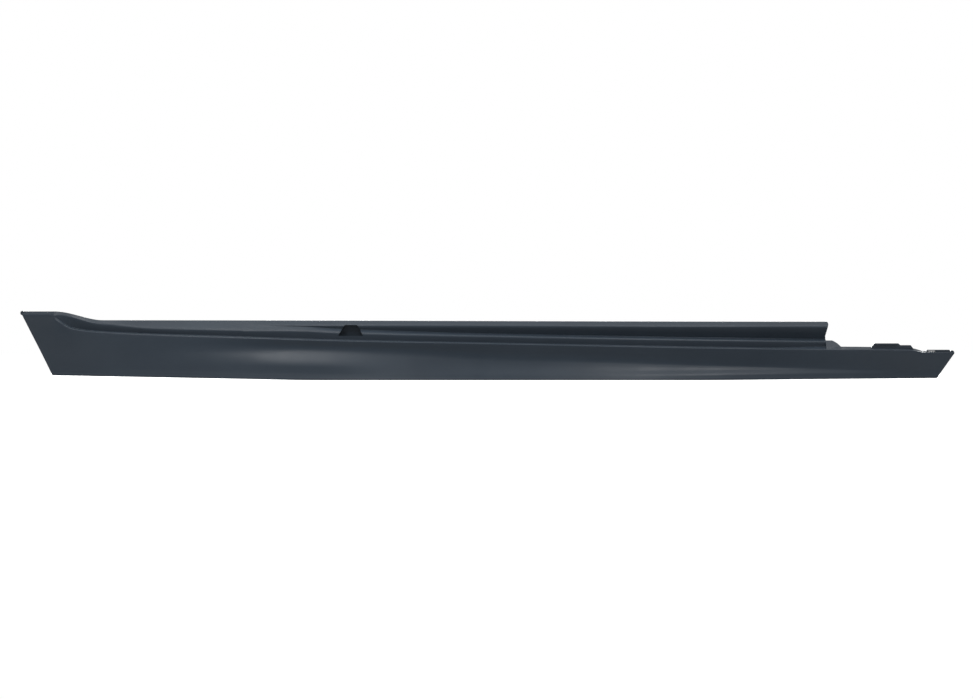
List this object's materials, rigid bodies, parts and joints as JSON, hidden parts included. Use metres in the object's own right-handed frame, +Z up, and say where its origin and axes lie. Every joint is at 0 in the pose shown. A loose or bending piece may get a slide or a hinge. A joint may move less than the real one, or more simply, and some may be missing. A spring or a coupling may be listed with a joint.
{
  "type": "car side skirt",
  "caption": "Long moulded side skirt for a saloon's left sill: tall slanted front block, stepped rail for the doors, creased flared face, bottom flange and snap clips behind.",
  "frame": {"origin": "middle of the row of screw holes in the bottom flange, on the flange's underside, halfway along", "axes": "+X towards the car's rear, -Y outwards from the car, +Z up"},
  "size_m": [1.963, 0.1108, 0.1455],
  "materials": {
    "skirt_plastic": "satin, fine moulded grain",
    "clip_nylon": "natural nylon",
    "nut_steel": "zinc-coated spring steel"
  },
  "bodies": {
    "root": {"skirt_shell": "skirt_plastic", "sill_clip_1": "clip_nylon", "sill_clip_2": "clip_nylon", "sill_clip_3": "clip_nylon", "sill_clip_4": "clip_nylon", "sill_clip_5": "clip_nylon", "sill_clip_6": "clip_nylon", "sill_clip_7": "clip_nylon", "sill_clip_8": "clip_nylon", "front_spring_nut_low": "nut_steel", "front_spring_nut_high": "nut_steel", "rear_spring_nut": "nut_steel"}
  },
  "joints": []
}
